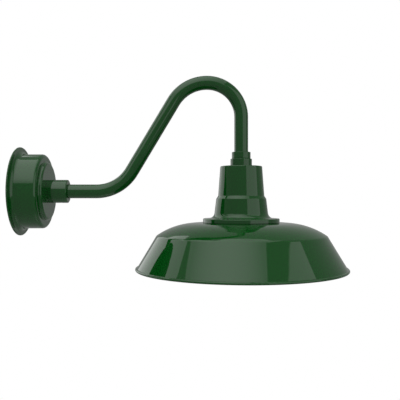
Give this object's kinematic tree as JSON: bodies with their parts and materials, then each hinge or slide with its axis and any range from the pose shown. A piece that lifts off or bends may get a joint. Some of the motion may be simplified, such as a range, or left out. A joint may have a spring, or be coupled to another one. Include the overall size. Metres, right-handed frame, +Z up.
{
  "type": "gooseneck wall sconce",
  "caption": "Wall light with a round canopy, a bent gooseneck pipe arm, a cast neck and a wide spun metal shade with a rolled rim over a screw-base lamp.",
  "frame": {"origin": "where the axis of the arm's root meets the wall plane, at the centre of the wall bolt slots", "axes": "+X straight out of the wall along the arm's root, +Z up, +Y to the left when looking out from the wall"},
  "size_m": [0.6306, 0.4064, 0.3734],
  "materials": {
    "green_gloss_paint": "gloss",
    "plated_steel": "satin",
    "black_steel": "satin",
    "green_screw": "satin",
    "brass": "satin",
    "porcelain": "gloss",
    "frosted_glass": "matte",
    "bulb_cap_metal": "satin",
    "black_glass": "gloss",
    "solder": "satin",
    "gasket_rubber": "matte",
    "connector_plastic": "gloss",
    "black_wire": "satin",
    "white_wire": "satin",
    "green_wire": "satin"
  },
  "bodies": {
    "wall_side": {"wall_gasket": "gasket_rubber", "mounting_bracket": "plated_steel", "canopy": "green_gloss_paint", "canopy_screws": "green_gloss_paint", "ground_lead": "green_wire", "ground_screw": "green_screw", "ground_wire_nut": "connector_plastic", "arm_hub": "green_gloss_paint", "hub_set_screw": "black_steel", "hub_lock_nut": "plated_steel"},
    "arm": {"arm_tube": "green_gloss_paint", "arm_lock_nut": "plated_steel", "neck_lock_ring": "green_gloss_paint", "neck_lock_nut": "plated_steel", "live_wire": "black_wire", "neutral_wire": "white_wire", "wire_nuts": "connector_plastic"},
    "shade_head": {"neck_housing": "green_gloss_paint", "neck_set_screw": "black_steel", "neck_gasket": "gasket_rubber", "shade": "green_gloss_paint", "shade_clamp_ring": "plated_steel", "shade_screws": "plated_steel", "socket_bracket": "plated_steel", "bracket_screws": "plated_steel", "socket_body": "porcelain", "socket_screws": "plated_steel", "terminal_screws": "brass", "socket_shell": "brass", "socket_contact": "brass", "socket_live_lead": "black_wire", "socket_neutral_lead": "white_wire"},
    "bulb": {"bulb_globe": "frosted_glass", "bulb_cap": "bulb_cap_metal", "bulb_insulator": "black_glass", "bulb_contact": "solder"}
  },
  "joints": [
    {"name": "arm_swivel", "type": "hinge", "parent": "wall_side", "child": "arm", "pos_m": [0.07, 0, 0], "axis": [1, 0, 0], "range_deg": [-180, 180]},
    {"name": "shade_turn", "type": "hinge", "parent": "arm", "child": "shade_head", "pos_m": [0.42743, 0, 0.05], "axis": [0, 0, 1], "range_deg": [-180, 180]},
    {"name": "lamp_unscrew", "type": "slide", "parent": "shade_head", "child": "bulb", "axis": [0, 0, -1], "range_m": [0, 0.03]}
  ]
}
